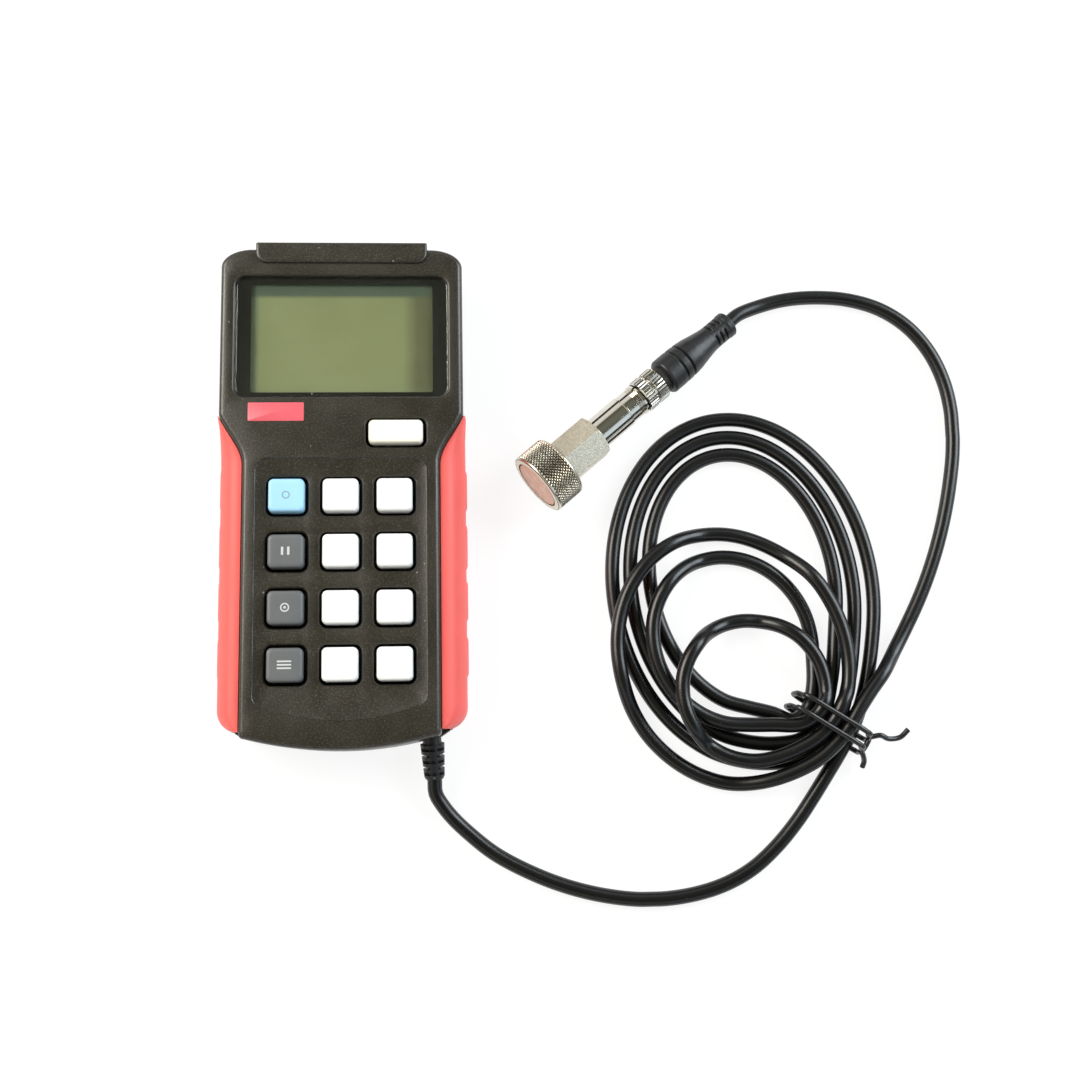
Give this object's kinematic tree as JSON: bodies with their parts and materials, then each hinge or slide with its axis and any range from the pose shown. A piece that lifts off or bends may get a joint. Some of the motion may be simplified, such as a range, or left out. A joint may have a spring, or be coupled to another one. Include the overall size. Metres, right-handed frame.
{
  "type": "handheld vibration meter",
  "caption": "Handheld vibration meter with a keypad, red side grips and a magnetic pick-up on a tied lead.",
  "frame": {"origin": "middle of the flat back that the meter lies on", "axes": "+X across the meter to the right of the display, +Y to the display end, +Z out of the display"},
  "size_m": [0.2496, 0.2153, 0.0293],
  "materials": {
    "case": "fine grained moulding, warm black",
    "grip": "soft coral red overmould",
    "window": "clear window with a faint tint",
    "mask": "black print behind the window",
    "lcd": "olive display glass",
    "key_white": "satin white",
    "key_grey": "satin mid grey",
    "key_blue": "satin light blue",
    "key_cream": "satin cream",
    "inner_white": "natural moulding",
    "silicone": "grey silicone",
    "board": "green varnish",
    "chip": "black epoxy",
    "steel": "plated",
    "cell": "plain sleeve",
    "nickel": "warm nickel plating, satin on the knurl and hexagon",
    "bright": "polished nickel",
    "copper_face": "pinkish matt face",
    "spacer": "dark red resin",
    "ceramic": "fired",
    "tungsten": "heavy alloy",
    "insert": "moulded",
    "black_rubber": "satin black",
    "cord": "smooth black jacket",
    "tie": "black coated wire"
  },
  "bodies": {
    "meter_set": {"front_case": "case", "rear_case": "case", "grip_left": "grip", "grip_right": "grip", "end_cap": "case", "usb_socket": "steel", "display_window": "window", "display_mask": "mask", "lcd_panel": "lcd", "lcd_holder": "inner_white", "contact_strips": "silicone", "main_board": "board", "board_chips": "chip", "board_screws": "steel", "key_mat": "silicone", "battery_cells": "cell", "battery_contacts": "steel", "case_screws": "steel", "strain_relief": "black_rubber", "magnet_housing": "nickel", "magnet_disc": "copper_face", "magnet_spacer": "spacer", "base_stud": "steel", "sensor_hex": "nickel", "crystal_stack": "ceramic", "seismic_mass": "tungsten", "preload_bolt": "steel", "sensor_barrel": "bright", "sensor_socket": "nickel", "socket_insert": "insert", "plug_core": "insert", "plug_boot": "black_rubber", "cable_lead_meter": "cord", "cable_coil": "cord", "cable_lead_sensor": "cord", "cable_tie": "tie"},
    "key_1_body": {"key_1": "key_blue"},
    "key_2_body": {"key_2": "key_white"},
    "key_3_body": {"key_3": "key_white"},
    "key_4_body": {"key_4": "key_grey"},
    "key_5_body": {"key_5": "key_white"},
    "key_6_body": {"key_6": "key_white"},
    "key_7_body": {"key_7": "key_grey"},
    "key_8_body": {"key_8": "key_white"},
    "key_9_body": {"key_9": "key_white"},
    "key_10_body": {"key_10": "key_grey"},
    "key_11_body": {"key_11": "key_white"},
    "key_12_body": {"key_12": "key_white"},
    "wide_key_body": {"wide_key": "key_cream"},
    "battery_door_body": {"battery_door": "case"},
    "port_cover_body": {"port_cover": "black_rubber"},
    "plug_nut_body": {"plug_nut": "bright"}
  },
  "joints": [
    {"name": "key_1_press", "type": "slide", "parent": "meter_set", "child": "key_1_body", "axis": [0, 0, -1], "range_m": [0, 0.0008], "stiffness_N_per_m": 1900},
    {"name": "key_2_press", "type": "slide", "parent": "meter_set", "child": "key_2_body", "axis": [0, 0, -1], "range_m": [0, 0.0008], "stiffness_N_per_m": 1900},
    {"name": "key_3_press", "type": "slide", "parent": "meter_set", "child": "key_3_body", "axis": [0, 0, -1], "range_m": [0, 0.0008], "stiffness_N_per_m": 1900},
    {"name": "key_4_press", "type": "slide", "parent": "meter_set", "child": "key_4_body", "axis": [0, 0, -1], "range_m": [0, 0.0008], "stiffness_N_per_m": 1900},
    {"name": "key_5_press", "type": "slide", "parent": "meter_set", "child": "key_5_body", "axis": [0, 0, -1], "range_m": [0, 0.0008], "stiffness_N_per_m": 1900},
    {"name": "key_6_press", "type": "slide", "parent": "meter_set", "child": "key_6_body", "axis": [0, 0, -1], "range_m": [0, 0.0008], "stiffness_N_per_m": 1900},
    {"name": "key_7_press", "type": "slide", "parent": "meter_set", "child": "key_7_body", "axis": [0, 0, -1], "range_m": [0, 0.0008], "stiffness_N_per_m": 1900},
    {"name": "key_8_press", "type": "slide", "parent": "meter_set", "child": "key_8_body", "axis": [0, 0, -1], "range_m": [0, 0.0008], "stiffness_N_per_m": 1900},
    {"name": "key_9_press", "type": "slide", "parent": "meter_set", "child": "key_9_body", "axis": [0, 0, -1], "range_m": [0, 0.0008], "stiffness_N_per_m": 1900},
    {"name": "key_10_press", "type": "slide", "parent": "meter_set", "child": "key_10_body", "axis": [0, 0, -1], "range_m": [0, 0.0008], "stiffness_N_per_m": 1900},
    {"name": "key_11_press", "type": "slide", "parent": "meter_set", "child": "key_11_body", "axis": [0, 0, -1], "range_m": [0, 0.0008], "stiffness_N_per_m": 1900},
    {"name": "key_12_press", "type": "slide", "parent": "meter_set", "child": "key_12_body", "axis": [0, 0, -1], "range_m": [0, 0.0008], "stiffness_N_per_m": 1900},
    {"name": "wide_key_press", "type": "slide", "parent": "meter_set", "child": "wide_key_body", "axis": [0, 0, -1], "range_m": [0, 0.0008], "stiffness_N_per_m": 1900},
    {"name": "battery_door_slide", "type": "slide", "parent": "meter_set", "child": "battery_door_body", "axis": [0, -1, 0], "range_m": [0, 0.072]},
    {"name": "port_cover_hinge", "type": "hinge", "parent": "meter_set", "child": "port_cover_body", "pos_m": [0, 0.0819, 0.0168], "axis": [-1, 0, 0], "range_deg": [0, 110]},
    {"name": "plug_nut_turn", "type": "hinge", "parent": "meter_set", "child": "plug_nut_body", "pos_m": [0.10149, 0.03708, 0.00765], "axis": [0.7556, 0.6499, -0.0818], "continuous": true}
  ]
}
